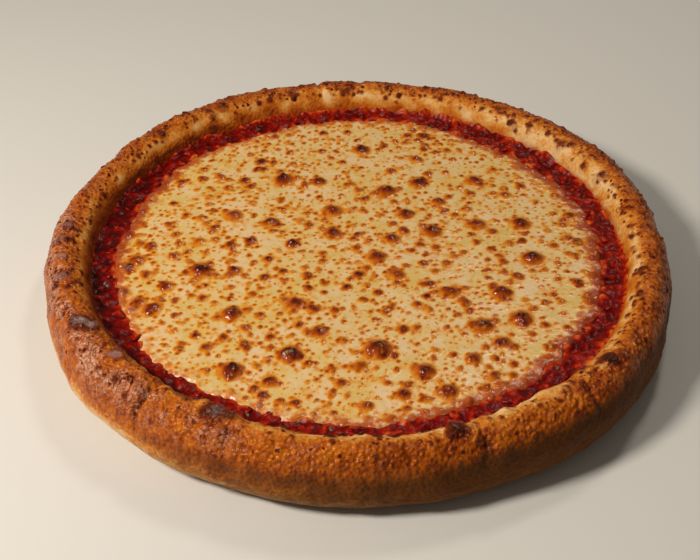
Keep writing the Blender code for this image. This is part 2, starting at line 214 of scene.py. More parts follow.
rim = dict(
    outerRadius=140.0 * mm, undersideRadius=127.5 * mm, crestRadius=130.3 * mm,
    footRadius=119.3 * mm, height=31.4 * mm, widestHeight=14.3 * mm, baseThickness=15.5 * mm,
    outerWave=1.3 * mm, crestWave=1.2 * mm, footWave=0.7 * mm, crestShare=0.4,
    lumpHeight=1.1 * mm, lumpLength=19.0 * mm, cragHeight=0.5 * mm, cragLength=7.5 * mm,
    sectors=1200,
    # rings round the profile: from, to and how many
    rings=((-90, -42, 7), (-42, 148, 71), (148, 180, 4)),
    # azimuth, half width in degrees, then outwards, upwards and inwards in mm
    swells=(
        (218, 22, 3.0, 0.8, 1.4), (241, 14, 1.2, 0.6, 1.6), (178, 20, 1.6, 0.5, 0.4),
        (143, 14, 1.4, 0.3, 0.2), (262, 16, 0.6, 0.0, 0.8), (314, 24, 2.0, 0.3, 0.6),
        (36, 28, 3.2, 0.5, -0.4), (4, 12, -1.4, 0.0, 0.3), (66, 16, 1.2, 0.4, -0.6),
        (128, 14, 0.4, 0.4, 0.2),
    ),
    # azimuth, half width in mm, depth in mm
    folds=(
        (231.8, 1.6, 2.0), (248.9, 1.6, 0.9), (290.4, 1.8, 0.9), (204.0, 2.2, 1.1),
        (99.7, 1.4, 0.9), (141.0, 1.8, 0.6), (312.0, 2.0, 0.7), (58.0, 1.8, 0.5),
    ),
    # azimuth, distance from the middle, radius and height in mm, then how charred it is
    blisters=(
        (209.2, 129.6, 5.0, 1.5, 1.0), (210.8, 125.0, 4.2, 1.3, 0.8), (216.3, 132.8, 3.2, 0.9, 0.15),
        (221.2, 127.6, 4.2, 1.0, 0.55), (230.2, 130.9, 3.6, 0.8, 0.1), (235.9, 130.4, 4.2, 1.0, 0.1),
        (245.2, 127.0, 5.6, 1.4, 0.9), (255.6, 131.6, 3.2, 0.8, 0.1), (265.5, 124.1, 2.0, 0.7, 1.0),
        (266.0, 129.3, 2.0, 0.6, 0.6), (273.3, 125.4, 1.9, 0.6, 1.0), (276.3, 123.6, 1.9, 0.6, 1.0),
        (286.8, 126.5, 4.6, 1.2, 0.9), (289.2, 130.8, 4.4, 0.9, 0.15), (311.0, 130.5, 4.2, 0.9, 0.4),
        (315.5, 122.4, 2.6, 0.9, 0.6), (320.2, 129.4, 4.6, 1.1, 1.0), (322.6, 132.6, 3.6, 0.8, 0.6),
        (348.1, 122.4, 1.9, 0.7, 0.4), (353.5, 122.9, 2.1, 0.8, 0.4), (357.0, 121.4, 1.8, 0.6, 0.4),
        (1.0, 121.9, 2.1, 0.8, 0.4), (16.6, 125.6, 2.2, 0.8, 0.5), (21.8, 123.9, 3.7, 1.7, 0.5),
        (27.7, 122.7, 2.1, 0.8, 0.5), (30.9, 125.8, 1.9, 0.7, 0.5), (34.4, 126.5, 2.3, 0.8, 0.5),
        (36.7, 123.5, 3.1, 1.2, 0.5), (50.7, 122.9, 2.8, 1.2, 0.5), (93.5, 124.4, 2.2, 0.6, 0.7),
        (106.3, 124.9, 3.1, 0.9, 0.6), (109.7, 124.9, 2.3, 0.6, 0.5), (124.1, 127.5, 4.0, 1.1, 0.5),
        (127.0, 124.8, 3.4, 0.9, 0.5), (141.0, 126.9, 3.6, 1.0, 0.5), (167.2, 132.8, 3.2, 0.8, 0.4),
        (179.1, 130.3, 4.0, 1.0, 0.4), (183.4, 133.1, 4.6, 1.1, 0.3), (188.8, 130.9, 4.2, 1.0, 0.4),
        (195.0, 131.8, 4.8, 1.1, 0.35), (197.4, 126.3, 3.0, 0.8, 0.5),
    ),
    # how far each place round the profile is baked, from the underside over the crest to the foot
    bakeStops=((-90, 0.05), (-55, 0.06), (-25, 0.14), (-5, 0.34), (10, 0.49), (24, 0.62),
               (50, 0.64), (88, 0.64), (104, 0.56), (118, 0.34), (132, 0.14), (180, 0.08)),
    # how closely dark specks stand on the crest, and how brown the inner wall is, baking plus
    # painted shade that deepens towards its foot and on the left: azimuth, share
    speckStops=((0, 0.6), (30, 0.75), (70, 0.85), (95, 1.0), (165, 1.0), (198, 0.7), (218, 0.2),
                (262, 0.2), (300, 0.3), (360, 0.6)),
    wallStops=((0, 0.26), (15, 0.05), (28, 0.05), (46, -0.08), (60, 0.12), (90, 0.36), (120, 0.58),
               (200, 0.70), (235, 0.50), (300, 0.34), (360, 0.26)),
    # how much further the pale wall reaches up and over, in degrees round the profile
    paleStops=((0, 5), (40, 7), (75, 3), (110, 1), (200, -1), (235, 6), (262, 16), (300, 17),
               (330, 6), (360, 5)),
    # how much darker the flank below is: painted shade, olive brown as if out of the light
    flankStops=((0, 1.0), (120, 0.6), (180, 0.0), (222, 0.0), (250, 0.6), (280, 1.0), (360, 1.0)),
    # where the skin split and pale dough shows, the last one a broad paler band low on the
    # front-left flank: azimuth, half width in degrees, place round the profile, its half width, how
    # much paler
    tears=((98.4, 1.1, 122, 30, 0.42), (326.0, 7.0, 22, 16, 0.30), (318.0, 2.2, 96, 16, 0.30),
           (208.0, 40.0, -12, 22, 0.26)),
    # how strongly the skin is pebbled: azimuth, share; and where the inner lip leans further in:
    # azimuth, half width in degrees, mm
    pebbleStops=((0, 1.0), (60, 0.8), (90, 0.6), (190, 0.6), (215, 1.0), (250, 1.0), (360, 1.0)),
    lips=((223, 16, 1.7), (241, 14, 1.9), (254, 10, 0.8), (300, 26, 1.9)),
    # azimuth and half width in degrees: where the inner wall tore, where it is rough, where the
    # skin wrinkled, where the painted shade on the flank climbs, where the ash with its painted sheen
    # and the painted tan sheen lie, where the lip has no specks
    tornAt=(228, 42), roughAt=(18, 60), wrinkleAt=(228, 34), climbAt=(314, 48),
    ashAt=(200, 75), sheenAt=(204, 68), plainAt=(150, 70), climb=16,
    # lengths of the noises that shape and colour the skin
    coarse=14 * mm, middling=5 * mm, fine=2.1 * mm, ridgeLength=3.2 * mm, lipLength=6 * mm,
    # bands round the profile, middle and half width in degrees: where folds cut in, where the flank
    # is drawn, where the lip leans, where the painted sheen lies, where the edge is specked, where it
    # wrinkles
    bands=((70, 75), (-18, 42), (117, 36), (66, 52), (118, 32), (75, 50)),
    # what streaks and torn wall add to the baking, and the painted shade on the flank, in the creases
    # and in the gaps between pebbles, whose tops are painted lighter
    streakBake=0.32, flankShadeBake=0.2, tornBake=0.3, creaseShade=0.42, pebbleShade=0.16,
    creaseDepth=0.9 * mm, skinWobble=1.1 * mm,
    wallFrom=127,  # blisters nearer to the middle than this, in mm, stand on the inner wall
    pebbleSize=2.1 * mm, pebbleHeight=0.90 * mm, wrinkleHeight=0.80 * mm,
    tallest=32.8 * mm,  # above this, what stands proud is pressed down
)


def rimSizes(azimuth):
    outer = rim["outerRadius"] + rim["outerWave"] * closedWave(azimuth, 9, 1.7)
    height = rim["height"] + rim["crestWave"] * closedWave(azimuth, 11, 5.3)
    foot = rim["footRadius"] + rim["footWave"] * closedWave(azimuth, 14, 9.1)
    for degrees, halfWidth, outwards, upwards, inwards in rim["swells"]:
        share = bell(turnBetween(azimuth, degrees), halfWidth)
        outer += outwards * mm * share
        height += upwards * mm * share
        foot -= inwards * mm * share
    crest = rim["crestRadius"] + rim["crestShare"] * (outer - rim["outerRadius"])
    return outer, crest, foot, height


def rimProfile(sizes, around):  # three quarter ellipses: underside edge, widest, crest, inner foot
    outer, crest, foot, height = sizes
    turn = radians(around)
    if around <= 0:
        middle, across = rim["undersideRadius"], outer - rim["undersideRadius"]
        level, up = rim["widestHeight"], rim["widestHeight"]
    elif around <= 90:
        middle, across = crest, outer - crest
        level, up = rim["widestHeight"], height - rim["widestHeight"]
    else:
        middle, across = crest, crest - foot
        level, up = rim["baseThickness"], height - rim["baseThickness"]
    outward = Vector((cos(turn) * up, sin(turn) * across)).normalized()
    return middle + across * cos(turn), level + up * sin(turn), outward


def crestPoint(degrees, distance):
    azimuth = radians(degrees)
    sizes = rimSizes(azimuth)
    low, high = 0.0, 180.0
    for _ in range(24):
        around = (low + high) / 2
        low, high = (around, high) if rimProfile(sizes, around)[0] > distance else (low, around)
    radius, height, _ = rimProfile(sizes, around)
    return polar(azimuth, radius, height)


def foldAt(at, azimuth, around):  # depth of the folds at a place, on a slightly winding path
    winding = 1.3 * noise.noise(Vector((around / 34, azimuth * 9, 4.2)))
    deepest, crease = 0.0, 0.0
    for degrees, half, deep in rim["folds"]:
        turn = turnBetween(azimuth, degrees + winding)
        if abs(turn) < 5:
            away = radians(turn) * rim["crestRadius"]
            deepest += deep * mm * bell(away, 2.4 * half * mm)
            crease += bell(away, 0.9 * half * mm) * deep / 1.5
    return deepest, crease


def buildCrust():
    blisters = rim["blisters"]
    centres = [crestPoint(b[0], b[1] * mm) for b in blisters]
    # those on the inner wall browned on the side that faces up
    tops = [crestPoint(b[0], (b[1] + (0.45 * b[2] if b[1] < rim["wallFrom"] else 0)) * mm)
            for b in blisters]
    finder = placeFinder(centres)
    widest = max(b[2] for b in blisters) * 2.3 * mm
    azimuths = [2 * pi * i / rim["sectors"] for i in range(rim["sectors"])]
    sizes = [rimSizes(a) for a in azimuths]
    speckShares, wallBakeAndShadeShares, paleShifts, flankShadeShares, pebbleShares = (
        alongTurn(rim[key + "Stops"], azimuths) for key in ("speck", "wall", "pale", "flank", "pebble"))
    tornShares, roughShares, wrinkleShares, shadeClimbShares, ashSheenShares, sheenShares, plainShares = (
        [bellAt(a, rim[key + "At"]) for a in azimuths]
        for key in ("torn", "rough", "wrinkle", "climb", "ash", "sheen", "plain"))
    lips = [sum(deep * mm * bell(turnBetween(a, middle), half) for middle, half, deep in rim["lips"])
            for a in azimuths]
    bakePlaces, bakeValues = zip(*rim["bakeStops"])
    arounds = [rim["rings"][0][0]]
    for first, last, number in rim["rings"]:
        arounds += [first + (last - first) * (k + 1) / number for k in range(number)]
    points = []
    values = {key: [] for key in ("bake", "toast", "ash", "bloom", "flank", "calm", "stain",
                                  "crestRoom", "edgeRoom")}
    for around in arounds:
        # how much of each feature this ring of the profile carries
        seen = bell(min(around + 20, 0), 70) * bell(max(around - 105, 0), 62)
        crossing, flank, leaning, onTop, edgeHere, wrinkleHere = (
            bell(around - middle, half) for middle, half in rim["bands"])
        shifted = around + paleShifts * smooth(60, 100, around)
        bakeds = np.interp(shifted, bakePlaces, bakeValues)
        crestHere = smooth(30, 60, around) * (1 - smooth(112, 138, around))
        wallHere = smooth(100, 125, around)
        # painted shade: the inner wall darkens towards its foot
        footShade = wallHere * (0.12 + 1.0 * smooth(122, 158, around))
        for i, azimuth in enumerate(azimuths):
            radius, height, outward = rimProfile(sizes[i], around)
            at = polar(azimuth, radius, height)
            fold, crease = foldAt(at, azimuth, around)
            lumps = rim["lumpHeight"] * noise.noise(at / rim["lumpLength"])
            crags = rim["cragHeight"] * noise.noise(at / rim["cragLength"])
            coarse = noise.noise(at / rim["coarse"])
            middling = noise.noise(at / rim["middling"])
            fine = noise.noise(at / rim["fine"])
            raised, char, ash = 0.0, 0.0, 0.0
            warped = at + rim["skinWobble"] * Vector((middling, fine, coarse))
            for centre, index, distance in finder.find_range(at, widest):
                _, _, reach, tall, burnt = blisters[index]
                raised = max(raised, tall * mm * bell(distance, 1.25 * reach * mm))
                away = (warped - tops[index]).length
                near = bell(away, 1.75 * reach * mm)
                char = max(char, burnt * (near + 0.3 * fine * near))
                # grey ash with a painted sheen on the tops of the biggest blisters
                if reach > 3.5:
                    ash = max(ash, min(1.7 * burnt, 1.0) * bell(away, 1.05 * reach * mm))
            # painted shade on the lower flank, its edge climbing higher at the front right
            lift = rim["climb"] * shadeClimbShares[i]
            flankShade = flankShadeShares[i] * (1 - smooth(14 + lift, 44 + lift, around))
            torn = tornShares[i]
            rough = max(torn, 0.7 * roughShares[i])
            calm = max(0.8 * wallHere * (1 - 0.8 * rough), 0.8 * flankShade)
            bake = (0.12 * coarse + 0.11 * middling + 0.09 * fine) * (1 - 0.45 * calm)
            bake += rim["streakBake"] * wallHere * noise.noise(Vector((azimuth * 15, around / 28, 3.0)))
            bake += float(bakeds[i]) + wallBakeAndShadeShares[i] * footShade + rim["flankShadeBake"] * flankShade
            bake += rim["tornBake"] * torn * wallHere
            for degrees, half, place, span, paler in rim["tears"]:
                bake -= paler * bell(turnBetween(azimuth, degrees), half) * bell(around - place, span)
            # pebbled where it browned, drawn into soft lines on the flank below
            grain = smooth(0.28, 0.5, bake) * seen * (1 - 0.75 * wallHere * (1 - 0.7 * rough))
            grain *= 1 - 0.7 * flankShade
            cell = noise.voronoi(at / rim["pebbleSize"])[0][0]
            pebble = rim["pebbleHeight"] * (0.55 - 1.5 * min(cell, 0.8)) * (0.7 + 0.8 * middling)
            ridge = rim["wrinkleHeight"] * (0.5 - abs(noise.noise(at / rim["ridgeLength"])) * 2.2)
            wrinkled = wrinkleShares[i] * wrinkleHere
            drawn = noise.noise(Vector((azimuth * 6, around / 9, 2.0)))
            drawn = 0.45 * mm * flank * drawn + 0.25 * mm * flank * noise.noise(
                Vector((azimuth * 14, around / 4, 6.0)))
            proud = (lumps + crags - fold * crossing) * seen + raised
            pebble *= pebbleShares[i] * (1 - 0.8 * ash)
            proud += grain * (pebble * (1 - 0.5 * wrinkled) + ridge * wrinkled)
            proud += lips[i] * leaning * (1 + 1.1 * noise.noise(at / rim["lipLength"]))
            proud += grain * 0.10 * mm * fine + drawn - rim["creaseDepth"] * crease * crossing
            top = height + outward.y * proud
            top -= 0.75 * max(top - rim["tallest"], 0.0)
            points.append(polar(azimuth, radius + outward.x * proud, top))
            # painted sheen: a tan glaze of light on the broad bumps of the crest
            sheenPatch = smooth(-0.6, 0.3, 1.4 * coarse + middling + ridge / mm) * onTop
            above = height - sauce["level"] - 1.0 * mm * middling
            patchy = smooth(-0.25, 0.3, coarse + 0.5 * middling)
            here = dict(
                # painted shade: darker in the creases and between the pebbles, lighter on the pebble tops
                bake=bake + rim["creaseShade"] * crease * crossing - rim["pebbleShade"] * pebble / mm * grain,
                toast=min(char, 1.0), ash=ash * (0.1 + 0.9 * ashSheenShares[i]),
                bloom=sheenPatch * sheenShares[i], flank=flankShade, calm=calm,
                stain=smooth(120, 140, around) * (1 - smooth(0.2 * mm, 3.2 * mm, above)),
                crestRoom=crestHere * speckShares[i] * (0.3 + 0.7 * patchy),
                edgeRoom=edgeHere * (1 - plainShares[i]))
            for key, number in here.items():
                values[key].append(number)
    faces = bandFaces(points, rim["sectors"], 0, rim["baseThickness"])
    for numbers in values.values():
        numbers += [0.0, 0.0]
    return meshPiece("bakedCrust", points, faces, values)


# blisters that follow a surface: strewn points, each raising a small dome and browning it

def blisterTree(name):
    tree, add, given = newGroup(
        name, Float="Spacing Density Smallest Largest Slope Palest Darkest Halo Wobble", Int="Seed",
        String="Room", Material="Material")
    spots = strewPoints(add, given, given["Room"])
    # how wide and how dark each one is
    otherSeed = add("ShaderNodeMath", {0: given["Seed"], 1: 17.0}, operation="ADD")
    for key, low, high, seed in (("reach", "Smallest", "Largest", given["Seed"]),
                                 ("dark", "Palest", "Darkest", otherSeed)):
        drawn = add("FunctionNodeRandomValue", {
            "Min": given[low], "Max": given[high], "Seed": seed}, data_type="FLOAT")
        spots = add("GeometryNodeStoreNamedAttribute", {
            "Geometry": spots, "Name": key, "Value": drawn}, data_type="FLOAT")
    # the nearest blister to each place, seen through a small wobble so that no edge is round
    place = out(add("GeometryNodeInputPosition"))
    shift = shiftedBy(add, place, 2.6, 2.0, given["Wobble"])
    looked = add("ShaderNodeVectorMath", {0: place, 1: shift}, operation="ADD")
    nearest = add("GeometryNodeSampleNearest", {
        "Geometry": spots, "Sample Position": looked}, domain="POINT")
    fields = [(add("GeometryNodeInputPosition"), "FLOAT_VECTOR")]
    fields += [(add("GeometryNodeInputNamedAttribute", {"Name": key}, data_type="FLOAT"), "FLOAT")
               for key in ("reach", "dark")]
    middle, reach, dark = (
        add("GeometryNodeSampleIndex", {
            "Geometry": spots, "Value": field, "Index": nearest}, data_type=kind, domain="POINT")
        for field, kind in fields)
    away = add("ShaderNodeVectorMath", {0: looked, 1: middle}, operation="DISTANCE")
    share = add("ShaderNodeMath", {0: away, 1: reach}, operation="DIVIDE", use_clamp=True)
    squared = add("ShaderNodeMath", {0: share, 1: share}, operation="MULTIPLY")
    left = add("ShaderNodeMath", {0: 1.0, 1: squared}, operation="SUBTRACT")
    dome = add("ShaderNodeMath", {0: left, 1: 2.0}, operation="POWER")
    # raise it along the normal
    tall = add("ShaderNodeMath", {0: reach, 1: given["Slope"]}, operation="MULTIPLY")
    lift = add("ShaderNodeMath", {0: dome, 1: tall}, operation="MULTIPLY")
    normal = add("GeometryNodeInputNormal")
    offset = add("ShaderNodeVectorMath", {0: normal, "Scale": lift}, operation="SCALE")
    # brown it: a steep dark core that fades into a wide halo
    wide = add("ShaderNodeMath", {0: reach, 1: given["Halo"]}, operation="MULTIPLY")
    haloShare = add("ShaderNodeMath", {0: away, 1: wide}, operation="DIVIDE", use_clamp=True)
    haloLeft = add("ShaderNodeMath", {0: 1.0, 1: haloShare}, operation="SUBTRACT")
    halo = add("ShaderNodeMath", {0: haloLeft, 1: 1.5}, operation="POWER")
    browned = add("ShaderNodeMath", {0: halo, 1: dark}, operation="MULTIPLY")
    before = add("GeometryNodeInputNamedAttribute", {"Name": "toast"}, data_type="FLOAT")
    unbrowned = add("ShaderNodeMath", {0: 1.0, 1: browned}, operation="SUBTRACT")
    most = add("ShaderNodeMath", {0: before, 1: unbrowned, 2: browned}, operation="MULTIPLY_ADD")
    noted = add("GeometryNodeStoreNamedAttribute", {
        "Geometry": given["Geometry"], "Name": "toast", "Value": most}, data_type="FLOAT")
    moved = add("GeometryNodeSetPosition", {"Geometry": noted, "Offset": offset})
    real = add("GeometryNodeRealizeInstances", {"Geometry": moved})
    closeGroup(add, real, given["Material"])
    return tree


# the mozzarella: one melted sheet with large domes, strewn small ones and toasted freckles

cheese = dict(
    level=20.4 * mm, underside=18.3 * mm, radius=110.6 * mm, grid=292,
    # x, y, radius and height in mm
    domes=(
        (69, -47, 5.2, 2.2), (-70, -16, 5.6, 2.3), (-37, 55, 5.2, 2.1), (8, -6, 5.0, 2.1),
        (-59, 25, 5.0, 1.9), (27, -80, 5.0, 1.9), (62, -30, 5.0, 2.1), (-28, -70, 5.2, 2.0),
        (78, -6, 5.4, 2.3), (-51, -80, 5.2, 2.0), (13, 46, 5.4, 2.2), (-54, -45, 5.0, 1.8),
        (36, -91, 4.6, 1.7), (75, 20, 5.2, 2.2), (55, 19, 4.8, 1.8), (29, 53, 4.8, 1.8),
        (56, 55, 4.8, 1.7), (1, 82, 4.6, 1.6), (-13, 29, 5.4, 2.2), (52, -52, 5.4, 2.1),
        (8, -67, 6.6, 3.0), (38, 37, 4.0, 1.4), (15, 8, 4.2, 1.5), (-73, 5, 3.4, 1.1),
        (47, -72, 4.0, 1.4), (-16, -56, 3.8, 1.3), (-55, -16, 3.6, 1.2), (70, 43, 3.8, 1.3),
        (18, -93, 3.6, 1.2), (-20, 54, 3.6, 1.2), (-83, -6, 3.4, 1.1), (-27, -38, 4.6, 1.5),
        (1, -77, 3.6, 1.2), (29, 73, 3.6, 1.2), (-84, -27, 3.8, 1.2), (3, -100, 3.6, 1.1),
        (60, -62, 3.8, 1.3), (-41, 20, 4.6, 1.6), (-94, -19, 3.4, 1.0), (-35, -86, 3.6, 1.2),
        (-88, -42, 4.4, 1.5), (-12, 12, 4.8, 1.6), (34, 14, 5.0, 1.8), (22, 27, 4.6, 1.7),
        (17, -18, 4.2, 1.4), (40, -30, 4.6, 1.6), (-30, 4, 3.8, 1.3),
        (-108, 10, 4.2, 1.2), (-103, -14, 4.2, 1.2), (-103, -32, 4.2, 1.2),
        (-100, -9, 4.2, 1.2), (-95, -38, 4.2, 1.2), (106, 6, 3.0, 0.8), (108, 19, 3.0, 0.8),
        (105, -5, 3.0, 0.8), (103, -18, 3.0, 0.8), (99, -35, 3.0, 0.8), (100, 7, 3.0, 0.8),
        (96, -23, 3.0, 0.8), (108, 0, 3.0, 0.8),
    ),
    # how far oil and tomato soaked into the edge: azimuth, share
    soakStops=((0, 1.0), (40, 1.0), (75, 0.65), (130, 0.65), (152, 1.0), (182, 0.95), (205, 0.55),
               (235, 0.45), (275, 0.7), (310, 0.95), (360, 1.0)),
    # waves of the edge: size in mm, cycles round the sheet and seed
    edgeWaves=((2.4, 16, 3.1), (1.8, 52, 7.7), (2.2, 110, 1.3)),
    # how dark the domes are: the large ones from this radius on, then the others
    largeFrom=4.3 * mm, largeDark=(0.74, 1.1), otherDark=(0.5, 1.0),
    wobble=0.6 * mm, lipDrop=1.0 * mm, lipWidth=2.2 * mm, thinWidth=9 * mm, lipTuck=0.4 * mm,
    smallCount=70, smallRadii=(2.2, 3.2), smallSlope=0.34, spacing=1.5, seed=11,
)


def cheeseEdge(azimuth):
    runs = sum(size * closedWave(azimuth, cycles, seed) for size, cycles, seed in cheese["edgeWaves"])
    return cheese["radius"] + runs * mm


def strewnDomes():  # the largest domes, then small ones in the room that they leave
    draw = Random(cheese["seed"])
    domes = [tuple(value * mm for value in dome) for dome in cheese["domes"]]
    wanted = len(domes) + cheese["smallCount"]
    while len(domes) < wanted:
        azimuth = draw.uniform(0, 2 * pi)
        distance = (cheese["radius"] - 7 * mm) * draw.random() ** 0.5
        radius = draw.uniform(*cheese["smallRadii"]) * mm
        x, y = distance * cos(azimuth), distance * sin(azimuth)
        room = radius + cheese["spacing"] * mm
        if all(Vector((x - a, y - b)).length > r + room for a, b, r, _ in domes):
            domes.append((x, y, radius, cheese["smallSlope"] * radius))
    return domes


def discGrid(count):  # square grid pressed into a disc: shares of the radius, and azimuths
    places = np.linspace(-1, 1, count + 1)
    a, b = np.meshgrid(places, places)
    wide = np.abs(a) > np.abs(b)
    safeA, safeB = np.where(a == 0, 1.0, a), np.where(b == 0, 1.0, b)
    share = np.where(wide, a, b)
    turn = np.where(wide, (pi / 4) * b / safeA, pi / 2 - (pi / 4) * a / safeB)
    x, y = share * np.cos(turn), share * np.sin(turn)
    return np.hypot(x, y), np.arctan2(y, x)


def buildCheese():
    domes = strewnDomes()
    finder = placeFinder([(x, y, 0) for x, y, _, _ in domes])
    draw = Random(cheese["seed"] + 1)
    strengths = [draw.uniform(*cheese["largeDark" if r > cheese["largeFrom"] else "otherDark"])
                 for _, _, r, _ in domes]
    shares, azimuths = discGrid(cheese["grid"])
    soakShares = alongTurn(cheese["soakStops"], azimuths)
    points, toasts, thins, rooms, soaks = [], [], [], [], []
    for share, azimuth, soakShare in zip(shares.ravel(), azimuths.ravel(), soakShares.ravel()):
        edge = cheeseEdge(azimuth)
        radius = share * cheese["radius"] + (edge - cheese["radius"]) * share ** 8
        flat = polar(azimuth, radius, 0)
        waves = 0.35 * mm * noise.noise(flat / (26 * mm)) + 0.22 * mm * noise.noise(flat / (8 * mm))
        raised, toast = 0.0, 0.0
        wobbled = flat + cheese["wobble"] * noise.noise_vector(flat / (3 * mm))
        wobbled.z = 0
        for centre, index, distance in finder.find_range(wobbled, 11 * mm):
            _, _, reach, tall = domes[index]
            raised = max(raised, 1.2 * tall * bell((flat - centre).length, 1.08 * reach))
            left = max(1 - distance / (1.5 * reach), 0.0)
            toast = max(toast, strengths[index] * min(1.3 * left ** 1.7, 1.0))
        raised += 0.45 * mm * toast * noise.noise(flat / (1.6 * mm))
        toEdge = edge - radius
        thin = 1 - smooth(0.0, cheese["thinWidth"], toEdge + 3 * mm * noise.noise(flat / (5 * mm)))
        slump = cheese["lipDrop"] * (1 - smooth(0.0, cheese["lipWidth"], toEdge))
        edgeRipple = 0.7 * mm * thin * noise.noise(flat / (3.4 * mm))
        points.append(flat + Vector((0, 0, cheese["level"] + waves + raised - slump + edgeRipple)))
        toasts.append(toast)
        thins.append(thin)
        ragged = toEdge + 3.0 * mm * noise.noise(flat / (4 * mm) + Vector((1, 6, 2)))
        soaks.append(soakShare * (1 - smooth(1.5 * mm, (4.5 + 7 * soakShare) * mm, ragged)))
        patches = noise.noise(flat / (24 * mm) + Vector((7, 3, 0)))
        crowded = 0.55 + 0.35 * smooth(-0.4, 0.4, patches) + 0.3 * (1 - smooth(4 * mm, 14 * mm, toEdge))
        rooms.append(smooth(0.2 * mm, 1.4 * mm, toEdge) * min(crowded, 1.0))
    side = cheese["grid"] + 1
    faces = [(r * side + c, r * side + c + 1, (r + 1) * side + c + 1, (r + 1) * side + c)
             for r in range(side - 1) for c in range(side - 1)]
    border = list(range(side))
    border += [r * side + side - 1 for r in range(1, side)]
    border += [(side - 1) * side + c for c in range(side - 2, -1, -1)]
    border += [r * side for r in range(side - 2, 0, -1)]
    # close the sheet below: a rolled lip, then a flat underside
    count = len(border)
    first = len(points)
    for i in border:
        inward = cheese["lipTuck"] / points[i].xy.length
        points.append(Vector((points[i].x * (1 - inward), points[i].y * (1 - inward),
                              cheese["underside"])))
    middle = len(points)
    points.append(Vector((0, 0, cheese["underside"])))
    for k, i in enumerate(border):
        j = border[(k + 1) % count]
        low, nextLow = first + k, first + (k + 1) % count
        faces.append((low, nextLow, j, i))
        faces.append((nextLow, low, middle))
    extra = count + 1
    values = {"toast": toasts + [0] * extra, "thin": thins + [1] * extra,
              "soak": soaks + [1] * extra, "spotRoom": rooms + [0] * extra}
    return meshPiece("meltedMozzarella", points, faces, values)


# the sauce: a bed under the cheese, lumpy where it shows, with pulp strewn over the ring

sauce = dict(
    underside=15.8 * mm, bed=18.0 * mm, level=20.4 * mm, sectors=1400, rings=28,
    underCheese=3.5 * mm, intoWall=0.3 * mm, sink=1.4 * mm,
    # lengths of the noises: broad, bent and fine; then the sizes of big and small lumps
    broad=8 * mm, soft=4 * mm, grain=1.6 * mm, chunk=5.2 * mm, lump=2.6 * mm,
    # how far the sauce was wiped up the wall: azimuth, mm
    climbStops=((0, 0.8), (20, 1.4), (35, 2.6), (60, 2.9), (80, 2.2), (95, 1.3), (115, 0.8),
                (130, 1.6), (150, 1.0), (185, 0.9), (200, 0.4), (250, 0.0), (320, 0.2), (345, 0.9),
                (360, 0.8)),
    shadedAt=(166, 62),  # where the rim keeps the light off: azimuth and half width in degrees
)


def innerWall(azimuth, height):  # distance from the middle to the inner wall at one height
    _, crest, foot, top = rimSizes(azimuth)
    up = min(max((height - rim["baseThickness"]) / (top - rim["baseThickness"]), 0.0), 1.0)
    return crest - (crest - foot) * (1 - up * up) ** 0.5


def buildSauce():
    count = sauce["sectors"]
    azimuths = [2 * pi * i / count for i in range(count)]
    wiped = alongTurn(sauce["climbStops"], azimuths)
    climbs = [(w * (1 + 1.4 * closedWave(a, 34, 2.2)) + 1.3 * closedWave(a, 80, 4.4)) * mm
              for a, w in zip(azimuths, wiped)]
    walls = [innerWall(a, sauce["level"] + c) for a, c in zip(azimuths, climbs)]
    feet = [innerWall(a, sauce["underside"]) for a in azimuths]
    inner = [cheeseEdge(a) - sauce["underCheese"] for a in azimuths]
    points = [polar(a, foot - 0.4 * mm, sauce["underside"]) for a, foot in zip(azimuths, feet)]
    depths, rooms = [0.2] * count, [0.0] * count
    for ring in range(sauce["rings"]):
        share = ring / (sauce["rings"] - 1)
        for i, azimuth in enumerate(azimuths):
            outside = walls[i] + sauce["intoWall"]
            radius = outside + (inner[i] - outside) * share
            flat = polar(azimuth, radius, 0)
            bent = flat + 1.2 * mm * noise.noise_vector(flat / sauce["soft"])
            big = noise.noise(flat / sauce["broad"])
            chunk = 1 - min(noise.voronoi(bent / sauce["chunk"])[0][0] * 1.6, 1.0)
            lump = 1 - min(noise.voronoi(bent / sauce["lump"])[0][0] * 1.6, 1.0)
            small = noise.noise(flat / sauce["grain"])
            soft = noise.noise(flat / sauce["soft"] + Vector((3, 8, 1)))
            relief = (1.0 * big + 1.1 * soft + 1.1 * (chunk - 0.35) + 0.4 * (lump - 0.4)) * mm
            relief += 0.18 * mm * small
            fade = smooth(-0.03, 0.04, share) * smooth(0.0, 0.16, 1 - share)
            climb = climbs[i] * (1 - smooth(0.0, 0.2, share)) * (1 + 0.5 * soft)
            sink = sauce["sink"] * (1 - smooth(0.0, 0.25, 1 - share))
            points.append(flat + Vector((0, 0, sauce["level"] + relief * fade + climb - sink)))
            byWall = 0.45 * (1 - smooth(0.0, 0.22, share)) * smooth(-0.5, 0.4, big + small)
            byCheese = 0.42 * (1 - smooth(0.12, 0.42, 1 - share)) * smooth(-0.5, 0.3, soft)
            # painted shade: the sauce darker by the wall where the rim keeps the light off
            shade = 0.25 * bellAt(azimuth, sauce["shadedAt"]) * (1 - smooth(0.3, 0.85, share))
            depths.append(0.36 + 0.22 * relief / mm + byWall + byCheese - shade)
            rooms.append(smooth(0.05, 0.2, share) * smooth(0.2, 0.3, 1 - share))
    points += [polar(a, lip - 0.2 * mm, sauce["bed"]) for a, lip in zip(azimuths, inner)]
    depths += [0.2] * count
    rooms += [0.0] * count
    faces = bandFaces(points, count, sauce["underside"], sauce["bed"])
    values = {"depth": depths + [0, 0], "room": rooms + [0, 0]}
    return meshPiece("crushedTomato", points, faces, values)


